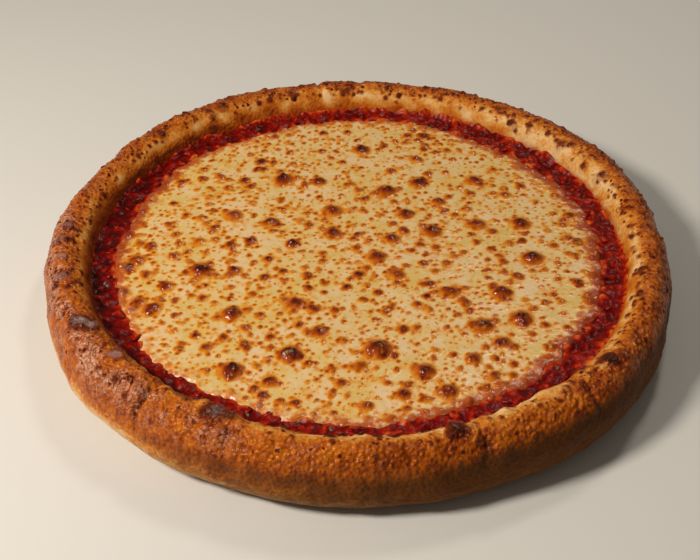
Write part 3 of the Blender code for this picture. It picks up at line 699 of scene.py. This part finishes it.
def pulpTree(name):  # soft lumps strewn over the ring, each turned, stretched and half sunk
    tree, add, given = newGroup(name, Float="Spacing Density Smallest Largest Sink", Int="Sides Seed",
                                Material="Material")
    spots = strewPoints(add, given, "room")
    size = add("FunctionNodeRandomValue", {
        "Min": given["Smallest"], "Max": given["Largest"], "Seed": given["Seed"]}, data_type="FLOAT")
    stretch, spin = (
        add("FunctionNodeRandomValue", {"Min": low, "Max": high, "Seed": given["Seed"]},
            data_type="FLOAT_VECTOR")
        for low, high in (((0.8, 0.8, 0.4), (1.9, 1.3, 0.65)), ((-0.3, -0.3, 0.0), (0.3, 0.3, 2 * pi))))
    scale = add("ShaderNodeVectorMath", {0: stretch, "Scale": size}, operation="SCALE")
    ball = add("GeometryNodeMeshIcoSphere", {"Radius": 1.0, "Subdivisions": given["Sides"]})
    place = out(add("GeometryNodeInputPosition"))
    rough = add("ShaderNodeTexNoise", {"Vector": place, "Scale": 1.3, "Detail": 1.0})
    swell = add("ShaderNodeMath", {0: rough, 1: 0.5}, operation="SUBTRACT")
    push = add("ShaderNodeVectorMath", {0: place, "Scale": swell}, operation="SCALE")
    lump = add("GeometryNodeSetPosition", {"Geometry": ball, "Offset": push})
    lumps = add("GeometryNodeInstanceOnPoints", {
        "Points": spots, "Instance": lump, "Rotation": spin, "Scale": scale})
    down = add("ShaderNodeCombineXYZ", {"Z": given["Sink"]})
    sunk = add("GeometryNodeTranslateInstances", {
        "Instances": lumps, "Translation": down, "Local Space": False})
    real = add("GeometryNodeRealizeInstances", {"Geometry": sunk})
    # crush the lumps and shade them unevenly
    pinch = shiftedBy(add, place, 2.6, 1.5, 3.4 * mm)
    pulp = add("GeometryNodeSetPosition", {"Geometry": real, "Offset": pinch})
    shade = add("ShaderNodeTexNoise", {"Vector": place, "Scale": perMm(6.0)})
    deep = add("ShaderNodeMath", {0: shade, 1: 0.85}, operation="MULTIPLY")
    for key, value in (("depth", deep), ("room", 0.0)):
        pulp = add("GeometryNodeStoreNamedAttribute", {
            "Geometry": pulp, "Name": key, "Value": value}, data_type="FLOAT")
    both = add("GeometryNodeJoinGeometry", {"Geometry": given["Geometry"]})
    tree.links.new(out(pulp), both.inputs["Geometry"])
    closeGroup(add, both, given["Material"])
    return tree


# dried herb flecks caught in the sauce beside the cheese

herbs = dict(
    thickness=0.12 * mm, dropFrom=40 * mm, clearance=0.15 * mm,
    # azimuth, distance from the middle, length and turn: degrees and mm
    flecks=(
        (234.5, 111.8, 2.6, 20), (236.8, 114.6, 1.5, 70), (247.6, 112.0, 2.4, 300),
        (251.0, 115.2, 1.4, 10), (264.8, 112.2, 2.6, 120), (266.9, 114.0, 1.3, 200),
        (278.5, 111.6, 2.2, 45), (316.3, 111.6, 2.6, 250), (75.3, 110.9, 2.4, 85),
        (72.0, 113.8, 1.6, 140), (20.0, 114.2, 1.6, 30), (345.0, 115.0, 1.4, 95),
        (112.0, 114.5, 1.5, 160), (160.0, 112.8, 1.6, 220), (200.0, 113.0, 1.5, 330),
        (128.0, 116.5, 1.3, 15),
    ),
)


def buildHerbs(ground):  # one point a fleck, lying on what is under it
    finder = bvhtree.BVHTree.FromPolygons([v.co for v in ground.vertices],
                                          [tuple(p.vertices) for p in ground.polygons])
    points, lengths, turns, leans = [], [], [], []
    for degrees, distance, length, turn in herbs["flecks"]:
        above = polar(radians(degrees), distance * mm, herbs["dropFrom"])
        place, normal, _, _ = finder.ray_cast(above, Vector((0, 0, -1)))
        points.append(place + herbs["clearance"] * normal)
        lengths.append(length * mm)
        turns.append(radians(turn))
        leans.append((normal + Vector((0, 0, 1))).normalized())
    piece = meshPiece("herbFlecks", points, [], {"length": lengths, "turn": turns})
    lean = piece.data.attributes.new("lean", "FLOAT_VECTOR", "POINT")
    lean.data.foreach_set("vector", np.array(leans, dtype=np.float32).ravel())
    return piece


def fleckTree(name):  # a small curled leaf scrap on every point
    tree, add, given = newGroup(name, Float="Thickness Curl", Material="Material")
    scrap = add("GeometryNodeMeshIcoSphere", {"Radius": 0.5, "Subdivisions": 2})
    place = out(add("GeometryNodeInputPosition"))
    along = out(add("ShaderNodeSeparateXYZ", {0: place}), "X")
    bend = add("ShaderNodeMath", {0: along, 1: along}, operation="MULTIPLY")
    rise = add("ShaderNodeMath", {0: bend, 1: given["Curl"]}, operation="MULTIPLY")
    ragged = add("ShaderNodeTexNoise", {"Vector": place, "Scale": 3.0, "Detail": 2.0})
    jag = add("ShaderNodeMapRange", {
        "Value": ragged, "From Min": 0.3, "From Max": 0.7, "To Min": -0.35, "To Max": 0.35})
    swell = add("ShaderNodeVectorMath", {0: place, "Scale": jag}, operation="SCALE")
    lift = add("ShaderNodeCombineXYZ", {"Z": rise})
    both = add("ShaderNodeVectorMath", {0: swell, 1: lift}, operation="ADD")
    leaf = add("GeometryNodeSetPosition", {"Geometry": scrap, "Offset": both})
    length, lean, turn = (
        out(add("GeometryNodeInputNamedAttribute", {"Name": key}, data_type=kind))
        for key, kind in (("length", "FLOAT"), ("lean", "FLOAT_VECTOR"), ("turn", "FLOAT")))
    width = add("ShaderNodeMath", {0: length, 1: 0.55}, operation="MULTIPLY")
    size = add("ShaderNodeCombineXYZ", {"X": length, "Y": width, "Z": given["Thickness"]})
    upright = add("FunctionNodeAlignRotationToVector", {"Vector": lean}, axis="Z")
    spin = add("ShaderNodeCombineXYZ", {"Z": turn})
    turned = add("FunctionNodeRotateRotation", {
        "Rotation": upright, "Rotate By": spin}, rotation_space="LOCAL")
    scraps = add("GeometryNodeInstanceOnPoints", {
        "Points": given["Geometry"], "Instance": leaf, "Rotation": turned, "Scale": size})
    real = add("GeometryNodeRealizeInstances", {"Geometry": scraps})
    closeGroup(add, real, given["Material"])
    return tree


# materials

def readValues(add, names):  # attributes of the mesh, by name
    return [out(add("ShaderNodeAttribute", attribute_name=name), "Fac")
            for name in names.split()]


def layOver(add, below, amount, low, high, colour, most=1.0):  # shows from low to high amount
    share = add("ShaderNodeMapRange", {
        "Value": amount, "From Min": low, "From Max": high, "To Max": most})
    return add("ShaderNodeMix", {
        "Factor": share, "A": below,
        "B": linearColour(colour) if isinstance(colour, str) else colour}, data_type="RGBA")


def cellDots(add, place, size, smallest, largest, fullAt, most):  # a dot in each cell
    cells = add("ShaderNodeTexVoronoi", {"Vector": place, "Scale": perMm(size)})
    draw = add("ShaderNodeSeparateColor", {"Color": out(cells, "Color")})
    reach = add("ShaderNodeMapRange", {"Value": out(draw, "Red"), "To Min": smallest, "To Max": largest})
    share = add("ShaderNodeMath", {0: cells, 1: reach}, operation="DIVIDE", use_clamp=True)
    dots = add("ShaderNodeMapRange", {
        "Value": share, "From Min": 1.0, "From Max": fullAt, "To Max": most})
    return draw, dots


def driedHerb():
    # Dried oregano scraps wetted by the sauce: dull olive green mottled with brown.
    material, add, shader = newMaterial("oreganoDriedAndWetted")
    place = out(add("ShaderNodeTexCoord"), "Object")
    mottle = add("ShaderNodeTexNoise", {"Vector": place, "Scale": perMm(0.8), "Detail": 2.0})
    colours = add("ShaderNodeValToRGB", {"Fac": mottle},
                  stops=((0.35, "2A2208"), (0.5, "423A12"), (0.65, "5E5220")))
    setInputs(shader, {"Base Color": colours, "Roughness": 0.42})
    return material


def bakedDough():
    # Wheat dough baked hot: cream where shaded, amber to red brown where it met the heat,
    # with charred bubbles; brushed oil gives it a soft, broken shine.
    material, add, shader = newMaterial("wheatDoughBakedAndBlistered")
    place = out(add("ShaderNodeTexCoord"), "Object")
    bake, toast, ash, bloom, flank, crestRoom, stain, calm = readValues(
        add, "bake toast ash bloom flank crestRoom stain calm")
    lively = add("ShaderNodeMath", {0: calm, 1: -0.6, 2: 1.0}, operation="MULTIPLY_ADD")
    grain = add("ShaderNodeTexNoise", {
        "Vector": place, "Scale": perMm(1.5), "Detail": 4.0, "Roughness": 0.6})
    mottle = add("ShaderNodeTexNoise", {
        "Vector": place, "Scale": perMm(6.0), "Detail": 3.0, "Roughness": 0.6})
    grainShift = add("ShaderNodeMapRange", {
        "Value": grain, "From Min": 0.25, "From Max": 0.75, "To Min": -0.16, "To Max": 0.16})
    mottleShift = add("ShaderNodeMapRange", {
        "Value": mottle, "From Min": 0.3, "From Max": 0.7, "To Min": -0.12, "To Max": 0.12})
    first = add("ShaderNodeMath", {0: grainShift, 1: lively, 2: bake}, operation="MULTIPLY_ADD")
    total = add("ShaderNodeMath", {0: first, 1: mottleShift}, operation="ADD")
    skin = add("ShaderNodeValToRGB", {"Fac": total}, stops=(
        (0.0, "D8B078"), (0.18, "CE944A"), (0.36, "C0701C"), (0.52, "AC560A"), (0.70, "903E04"),
        (0.85, "6E2804"), (1.0, "431402")))
    # scorched specks on the crest, in some of the cells
    bent = add("ShaderNodeVectorMath", {
        0: out(grain, "Color"), 1: (0.9 * mm,) * 3, 2: place}, operation="MULTIPLY_ADD")
    draw, dots = cellDots(add, bent, 2.2, 0.26, 0.66, 0.5, 0.9)
    speckHere = add("ShaderNodeMath", {0: out(draw, "Green"), 1: crestRoom}, operation="LESS_THAN")
    speckDepth = add("ShaderNodeMapRange", {"Value": out(draw, "Blue"), "To Min": 0.45})
    speckShade = add("ShaderNodeMath", {0: dots, 1: speckDepth}, operation="MULTIPLY")
    speck = add("ShaderNodeMath", {0: speckShade, 1: speckHere}, operation="MULTIPLY")
    scorched = add("ShaderNodeMath", {0: toast, 1: speck}, operation="MAXIMUM")
    charShift = add("ShaderNodeMath", {0: scorched, 1: grainShift}, operation="ADD")
    charColour = add("ShaderNodeValToRGB", {"Fac": charShift}, stops=(
        (0.12, "A0480C"), (0.36, "7C2C08"), (0.66, "521806"), (1.0, "260A04")))
    # fine wrinkles where the skin dried and shrank: the crests of a noise folded at its middle
    creases = add("ShaderNodeTexNoise", {
        "Vector": place, "Scale": perMm(2.3), "Detail": 1.5, "Distortion": 0.4})
    folded = add("ShaderNodeMath", {0: creases, 1: 0.5}, operation="SUBTRACT")
    crest = add("ShaderNodeMath", {0: folded}, operation="ABSOLUTE")
    wrinkle = add("ShaderNodeMapRange", {"Value": crest, "From Max": 0.10, "To Min": -0.5, "To Max": 0.4})
    # painted sheen: a pinkish tan glaze of light on the broad bumps of the crest
    sheenRough = add("ShaderNodeMath", {0: wrinkle, 1: 0.5, 2: grainShift}, operation="MULTIPLY_ADD")
    sheenShift = add("ShaderNodeMath", {0: sheenRough, 1: bloom}, operation="ADD")
    skin = layOver(add, skin, sheenShift, 0.15, 1.0, "D09474", 0.75)
    # painted shade on the flank below: olive brown and dull, as if out of the light
    flankShadeShift = add("ShaderNodeMath", {0: mottleShift, 1: 1.2, 2: flank}, operation="MULTIPLY_ADD")
    skin = layOver(add, skin, flankShadeShift, 0.1, 0.9, "482A08", 0.86)
    # the char, with a grey top on the biggest blisters: ash, with a painted sheen strongest on the front
    # left
    skin = layOver(add, skin, charShift, 0.12, 0.5, charColour)
    ashSheenShift = add("ShaderNodeMath", {0: grainShift, 1: 2.0, 2: ash}, operation="MULTIPLY_ADD")
    skin = layOver(add, skin, ashSheenShift, 0.2, 0.9, "92736E", 0.85)
    # sauce wiped up the inner wall
    stained = add("ShaderNodeMath", {0: stain, 1: grainShift}, operation="ADD")
    skin = layOver(add, skin, stained, 0.0, 1.0, "A03C0C")
    # the underside: pale, with brown patches where it lay on the hot oven floor
    height = out(add("ShaderNodeSeparateXYZ", {0: place}), "Z")
    patches = add("ShaderNodeTexNoise", {
        "Vector": place, "Scale": perMm(11.0), "Detail": 5.0, "Roughness": 0.65})
    underColour = add("ShaderNodeValToRGB", {"Fac": patches}, stops=(
        (0.32, "DDB77E"), (0.50, "C08A4C"), (0.62, "8A4E22"), (0.75, "3E1D10")))
    skin = layOver(add, skin, height, 0.5 * mm, 0.1 * mm, underColour)
    gloss = add("ShaderNodeMapRange", {
        "Value": grain, "From Min": 0.3, "From Max": 0.7, "To Min": 0.15, "To Max": 0.38})
    flat = add("ShaderNodeMath", {0: calm, 1: 0.55, 2: gloss}, operation="MULTIPLY_ADD")
    # fine pebbles in the browned skin, under two millimetres across
    warp = add("ShaderNodeVectorMath", {
        0: out(grain, "Color"), 1: (0.8 * mm,) * 3, 2: place}, operation="MULTIPLY_ADD")
    pores = add("ShaderNodeTexVoronoi", {
        "Vector": warp, "Scale": perMm(1.8), "Smoothness": 0.5}, feature="SMOOTH_F1")
    rounded = add("ShaderNodeMath", {0: 1.0, 1: pores}, operation="SUBTRACT")
    shrunk = add("ShaderNodeMath", {0: wrinkle, 1: bloom, 2: rounded}, operation="MULTIPLY_ADD")
    browned = add("ShaderNodeMapRange", {
        "Value": bake, "From Min": 0.22, "From Max": 0.5, "To Min": 0.10, "To Max": 0.95})
    relief = add("ShaderNodeMath", {0: browned, 1: lively}, operation="MULTIPLY")
    bump = add("ShaderNodeBump", {"Height": shrunk, "Strength": relief, "Distance": 1.0 * mm})
    setInputs(shader, {
        "Base Color": skin, "Roughness": flat, "Specular IOR Level": 0.32,
        "Specular Tint": linearColour("FFC48C"), "Normal": bump})
    return material


def toastedMozzarella():
    # Low moisture mozzarella melted and toasted: cream and slightly see-through, an oily
    # shine, amber haloes round red brown blisters, and fine freckles between them.
    material, add, shader = newMaterial("mozzarellaMeltedAndToasted")
    place = out(add("ShaderNodeTexCoord"), "Object")
    toast, thin, soak = readValues(add, "toast thin soak")
    cloud, uneven, fat, oily = (  # clouds in the cream, mottling, patches of fat, soaked patches
        add("ShaderNodeTexNoise", {
            "Vector": place, "Scale": perMm(size), "Detail": detail, "Roughness": rough})
        for size, detail, rough in ((14.0, 4.0, 0.6), (3.0, 3.0, 0.65), (9.0, 4.0, 0.65), (4.0, 3.0, 0.6)))
    base = add("ShaderNodeValToRGB", {"Fac": cloud},
               stops=((0.36, "D4B48A"), (0.50, "D0B178"), (0.64, "CAA95E")))
    # broad yellow patches where the fat came out and browned a little
    fatty = add("ShaderNodeMapRange", {"Value": fat, "From Min": 0.50, "From Max": 0.68, "To Max": 0.14})
    _, freckles = cellDots(add, place, 2.4, 0.10, 0.50, 0.1, 0.34)
    noisy = add("ShaderNodeMapRange", {
        "Value": uneven, "From Min": 0.3, "From Max": 0.7, "To Min": -0.10, "To Max": 0.10})
    most = add("ShaderNodeMath", {0: toast, 1: freckles}, operation="MAXIMUM")
    mottled = add("ShaderNodeMath", {0: noisy, 1: fatty}, operation="ADD")
    total = add("ShaderNodeMath", {0: most, 1: mottled}, operation="ADD")
    browns = add("ShaderNodeValToRGB", {"Fac": total}, stops=(
        (0.0, "D8A850"), (0.11, "D0902C"), (0.28, "C06C10"), (0.46, "A04600"), (0.70, "742200"),
        (1.0, "380600")))
    skin = layOver(add, base, total, 0.01, 0.17, browns)
    # the thin edge: pinkish cream, with orange lobes where oil and tomato soaked into it
    thinShift = add("ShaderNodeMath", {0: noisy, 1: 2.0, 2: thin}, operation="MULTIPLY_ADD")
    skin = layOver(add, skin, thinShift, 0.2, 1.0, "D8A484", 0.3)
    soakShift = add("ShaderNodeMath", {0: oily, 1: 2.6, 2: soak}, operation="MULTIPLY_ADD")
    soakColour = add("ShaderNodeValToRGB", {"Fac": soak}, stops=(
        (0.2, "CA8828"), (0.45, "BC6410"), (0.7, "A24204"), (1.0, "882400")))
    skin = layOver(add, skin, soakShift, 1.5, 2.0, soakColour, 0.9)
    gloss = add("ShaderNodeMapRange", {
        "Value": toast, "From Min": 0.05, "From Max": 0.5, "To Min": 0.29, "To Max": 0.15})
    ripple = add("ShaderNodeTexNoise", {"Vector": place, "Scale": perMm(1.8), "Detail": 2.0})
    wrinkled = add("ShaderNodeMapRange", {
        "Value": toast, "From Min": 0.1, "From Max": 0.6, "To Min": 0.35, "To Max": 1.0})
    bump = add("ShaderNodeBump", {"Height": ripple, "Strength": wrinkled, "Distance": 0.55 * mm})
    setInputs(shader, {
        "Base Color": skin, "Roughness": gloss, "Specular IOR Level": 0.36, "Normal": bump,
        "Subsurface Weight": 0.08, "Subsurface Radius": (1.0, 0.6, 0.3),
        "Subsurface Scale": 1.0 * mm})
    return material


def cookedTomato():
    # Crushed tomato cooked down: wet, deep red in the hollows, orange where it thins out.
    material, add, shader = newMaterial("tomatoCrushedAndCooked")
    place = out(add("ShaderNodeTexCoord"), "Object")
    depth, = readValues(add, "depth")
    pulp = add("ShaderNodeTexNoise", {
        "Vector": place, "Scale": perMm(2.4), "Detail": 3.0, "Roughness": 0.6})
    shift = add("ShaderNodeMapRange", {
        "Value": pulp, "From Min": 0.3, "From Max": 0.7, "To Min": -0.22, "To Max": 0.22})
    total = add("ShaderNodeMath", {0: depth, 1: shift}, operation="ADD")
    colours = add("ShaderNodeValToRGB", {"Fac": total}, stops=(
        (0.0, "380200"), (0.30, "660400"), (0.52, "8E1400"), (0.70, "AE3804"), (0.95, "C6641A")))
    fine = add("ShaderNodeTexNoise", {"Vector": place, "Scale": perMm(1.5), "Detail": 2.0})
    bump = add("ShaderNodeBump", {"Height": fine, "Strength": 0.45, "Distance": 0.35 * mm})
    setInputs(shader, {"Base Color": colours, "Roughness": 0.33, "IOR": 1.36,
                       "Specular IOR Level": 0.22, "Normal": bump})
    return material


# stage, lights and camera

view = dict(distance=560 * mm, elevation=39.5, lens=62.0, sensor=36.0, pitchUp=0.2, turnLeft=0.4)
studio = dict(
    floor="CFCAC1", reach=3, worldStrength=0.15, worldColour=(1.0, 0.93, 0.84, 1.0),
    lampColour=(1.0, 0.95, 0.88),
    # azimuth, elevation, distance in m, size in m, power in W
    lights=dict(key=(208, 45, 0.85, 0.18, 7.2), top=(62, 58, 1.0, 0.18, 2.0)),
)


def buildStage():
    mesh = bpy.data.meshes.new("floor")
    corners = ((-1, -1, 0), (1, -1, 0), (1, 1, 0), (-1, 1, 0))
    mesh.from_pydata([Vector(c) * studio["reach"] for c in corners], [], [(0, 1, 2, 3)])
    floor = bpy.data.objects.new("floor", mesh)
    bpy.context.scene.collection.objects.link(floor)
    material, _, shader = newMaterial("paleStudioFloor")
    setInputs(shader, {"Base Color": linearColour(studio["floor"]), "Roughness": 0.8})
    mesh.materials.append(material)
    for name, (azimuth, elevation, distance, size, power) in studio["lights"].items():
        data = bpy.data.lights.new(name, "AREA")
        data.shape, data.size, data.energy = "DISK", size, power
        data.color = studio["lampColour"]
        lamp = bpy.data.objects.new(name, data)
        lamp.location = polar(radians(azimuth), distance * cos(radians(elevation)),
                              distance * sin(radians(elevation)))
        lamp.rotation_euler = (-lamp.location).to_track_quat("-Z", "Y").to_euler()
        bpy.context.scene.collection.objects.link(lamp)
    world = bpy.data.worlds.new("studio")
    bpy.context.scene.world = world
    world.use_nodes = True
    setInputs(world.node_tree.nodes["Background"], {
        "Color": studio["worldColour"], "Strength": studio["worldStrength"]})


def buildCamera():
    data = bpy.data.cameras.new("camera")
    data.lens, data.sensor_width = view["lens"], view["sensor"]
    camera = bpy.data.objects.new("camera", data)
    tilt = radians(view["elevation"])
    camera.location = (0, -view["distance"] * cos(tilt), view["distance"] * sin(tilt))
    ahead = (-camera.location).normalized()
    side = Vector((1, 0, 0))
    above = side.cross(ahead)
    ahead += above * radians(view["pitchUp"]) - side * radians(view["turnLeft"])
    camera.rotation_euler = ahead.to_track_quat("-Z", "Y").to_euler()
    bpy.context.scene.collection.objects.link(camera)
    bpy.context.scene.camera = camera


# making

bpy.context.scene.view_settings.view_transform = "Standard"
buildStage()
buildCamera()

dough = bakedDough()
crust = buildCrust()
crust.data.materials.append(dough)
crustBlisters = blisterTree("rimBlisters")
for values in (
    dict(Spacing=5.4 * mm, Density=90000.0, Smallest=1.5 * mm, Largest=2.6 * mm, Slope=0.36,
         Palest=0.3, Darkest=0.95, Halo=1.7, Wobble=0.6 * mm, Seed=3, Room="crestRoom"),
    dict(Spacing=2.9 * mm, Density=500000.0, Smallest=0.9 * mm, Largest=1.5 * mm, Slope=0.34,
         Palest=0.3, Darkest=1.0, Halo=1.8, Wobble=0.4 * mm, Seed=5, Room="crestRoom"),
    dict(Spacing=3.6 * mm, Density=90000.0, Smallest=0.9 * mm, Largest=1.7 * mm, Slope=0.42,
         Palest=0.3, Darkest=0.95, Halo=1.9, Wobble=0.5 * mm, Seed=8, Room="edgeRoom"),
):
    growPiece(crust, crustBlisters, dict(values, Material=dough))
settlePiece(crust)
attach(crust, "root")
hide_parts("crust")
print("crust", len(crust.data.polygons), "faces")

tomato = cookedTomato()
sauceRing = buildSauce()
sauceRing.data.materials.append(tomato)
growPiece(sauceRing, pulpTree("tomatoPulp"), dict(
    Spacing=6.0 * mm, Density=40000.0, Smallest=1.1 * mm, Largest=2.0 * mm, Sink=-0.5 * mm,
    Sides=2, Seed=4, Material=tomato))
settlePiece(sauceRing)
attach(sauceRing, "root")
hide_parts("tomato_sauce")
print("sauce", len(sauceRing.data.polygons), "faces")

herb = driedHerb()
scraps = buildHerbs(sauceRing.data)
growPiece(scraps, fleckTree("herbScraps"), dict(
    Thickness=herbs["thickness"], Curl=1.5, Material=herb))
settlePiece(scraps)
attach(scraps, "root")
print("herbs", len(scraps.data.polygons), "faces")

mozzarella = toastedMozzarella()
sheet = buildCheese()
sheet.data.materials.append(mozzarella)
cheeseBlisters = blisterTree("cheeseBlisters")
for values in (
    dict(Spacing=5.2 * mm, Density=40000.0, Smallest=1.2 * mm, Largest=2.4 * mm, Slope=0.45,
         Palest=0.3, Darkest=0.9, Halo=1.7, Wobble=0.45 * mm, Seed=2, Room="spotRoom"),
    dict(Spacing=2.6 * mm, Density=170000.0, Smallest=0.6 * mm, Largest=1.2 * mm, Slope=0.40,
         Palest=0.2, Darkest=0.85, Halo=1.8, Wobble=0.35 * mm, Seed=6, Room="spotRoom"),
):
    growPiece(sheet, cheeseBlisters, dict(values, Material=mozzarella))
settlePiece(sheet)
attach(sheet, "root")
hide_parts("mozzarella")
print("cheese", len(sheet.data.polygons), "faces")
